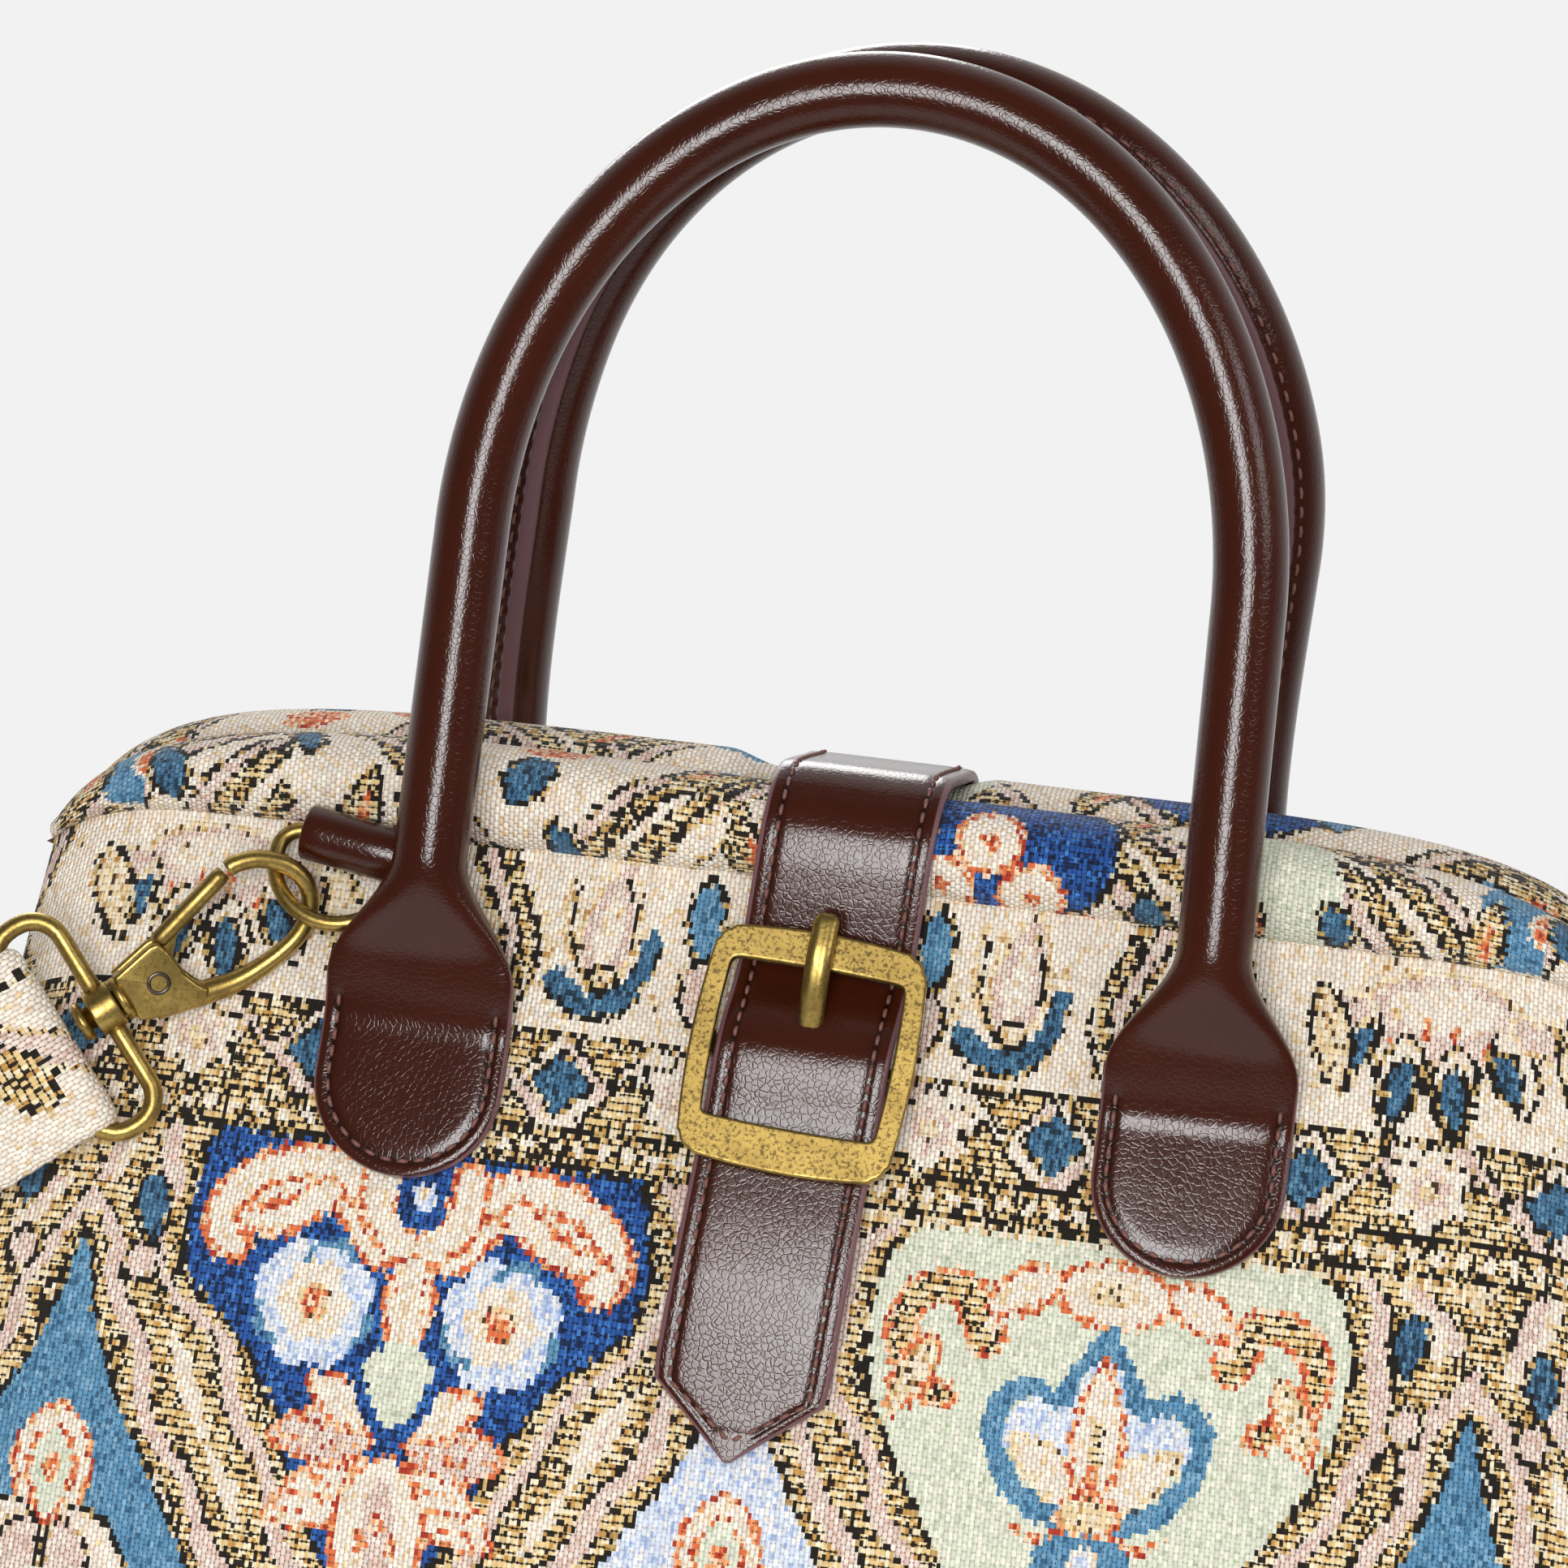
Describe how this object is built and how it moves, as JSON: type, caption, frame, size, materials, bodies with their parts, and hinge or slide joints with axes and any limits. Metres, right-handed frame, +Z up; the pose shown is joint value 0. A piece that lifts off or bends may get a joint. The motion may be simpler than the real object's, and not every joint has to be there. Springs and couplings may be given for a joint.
{
  "type": "carpet bag",
  "caption": "Small framed carpet bag with a tapestry body, rolled leather handles, a buckled closure strap and a tapestry shoulder strap on snap hooks.",
  "frame": {"origin": "middle of the base, on the floor", "axes": "+Z up, X along the bag, the buckle on the side that faces -Y"},
  "size_m": [0.395, 0.2444, 0.3324],
  "materials": {
    "tapestry": "ribbed woven rug pattern",
    "leather": "dark brown, glossy",
    "antique_brass": "antique, brushed",
    "steel": "plain strip",
    "board": "fibreboard under the lining"
  },
  "bodies": {
    "bag": {"front_panel": "tapestry", "back_panel": "tapestry", "left_gusset": "tapestry", "right_gusset": "tapestry", "base_panel": "tapestry", "base_board": "board", "front_casing": "tapestry", "back_casing": "tapestry", "front_bow": "steel", "back_bow": "steel", "hinge_rivets": "steel", "front_handle": "leather", "back_handle": "leather", "closure_strap": "leather", "buckle_chape": "leather", "buckle_frame": "antique_brass", "buckle_prong": "antique_brass", "front_ring_loop": "leather", "back_ring_loop": "leather", "front_ring": "antique_brass", "back_ring": "antique_brass", "front_hook": "antique_brass", "back_hook": "antique_brass", "front_gate_rivet": "antique_brass", "back_gate_rivet": "antique_brass", "front_gate_spring": "steel", "back_gate_spring": "steel", "shoulder_strap": "tapestry"},
    "front_gate": {"front_gate": "antique_brass"},
    "back_gate": {"back_gate": "antique_brass"},
    "front_eye": {"front_eye": "antique_brass"},
    "back_eye": {"back_eye": "antique_brass"}
  },
  "joints": [
    {"name": "front_gate_hinge", "type": "hinge", "parent": "bag", "child": "front_gate", "pos_m": [-0.11454, -0.03825, 0.16087], "axis": [0.3725, -0.928, 0.0047], "range_deg": [-20, 0], "stiffness_Nm_per_rad": 0.02, "springref_deg": 34.38, "deforming": ["front_gate_spring"]},
    {"name": "front_eye_swivel", "type": "hinge", "parent": "bag", "child": "front_eye", "pos_m": [-0.12268, -0.04154, 0.15537], "axis": [0.7656, 0.3102, 0.5636], "range_deg": [-40, 4], "deforming": ["shoulder_strap"]},
    {"name": "back_gate_hinge", "type": "hinge", "parent": "bag", "child": "back_gate", "pos_m": [0.11454, 0.03825, 0.16087], "axis": [-0.3725, 0.928, 0.0047], "range_deg": [-20, 0], "stiffness_Nm_per_rad": 0.02, "springref_deg": 34.38, "deforming": ["back_gate_spring"]},
    {"name": "back_eye_swivel", "type": "hinge", "parent": "bag", "child": "back_eye", "pos_m": [0.12268, 0.04154, 0.15537], "axis": [-0.7656, -0.3102, 0.5636], "range_deg": [-40, 4], "deforming": ["shoulder_strap"]}
  ]
}
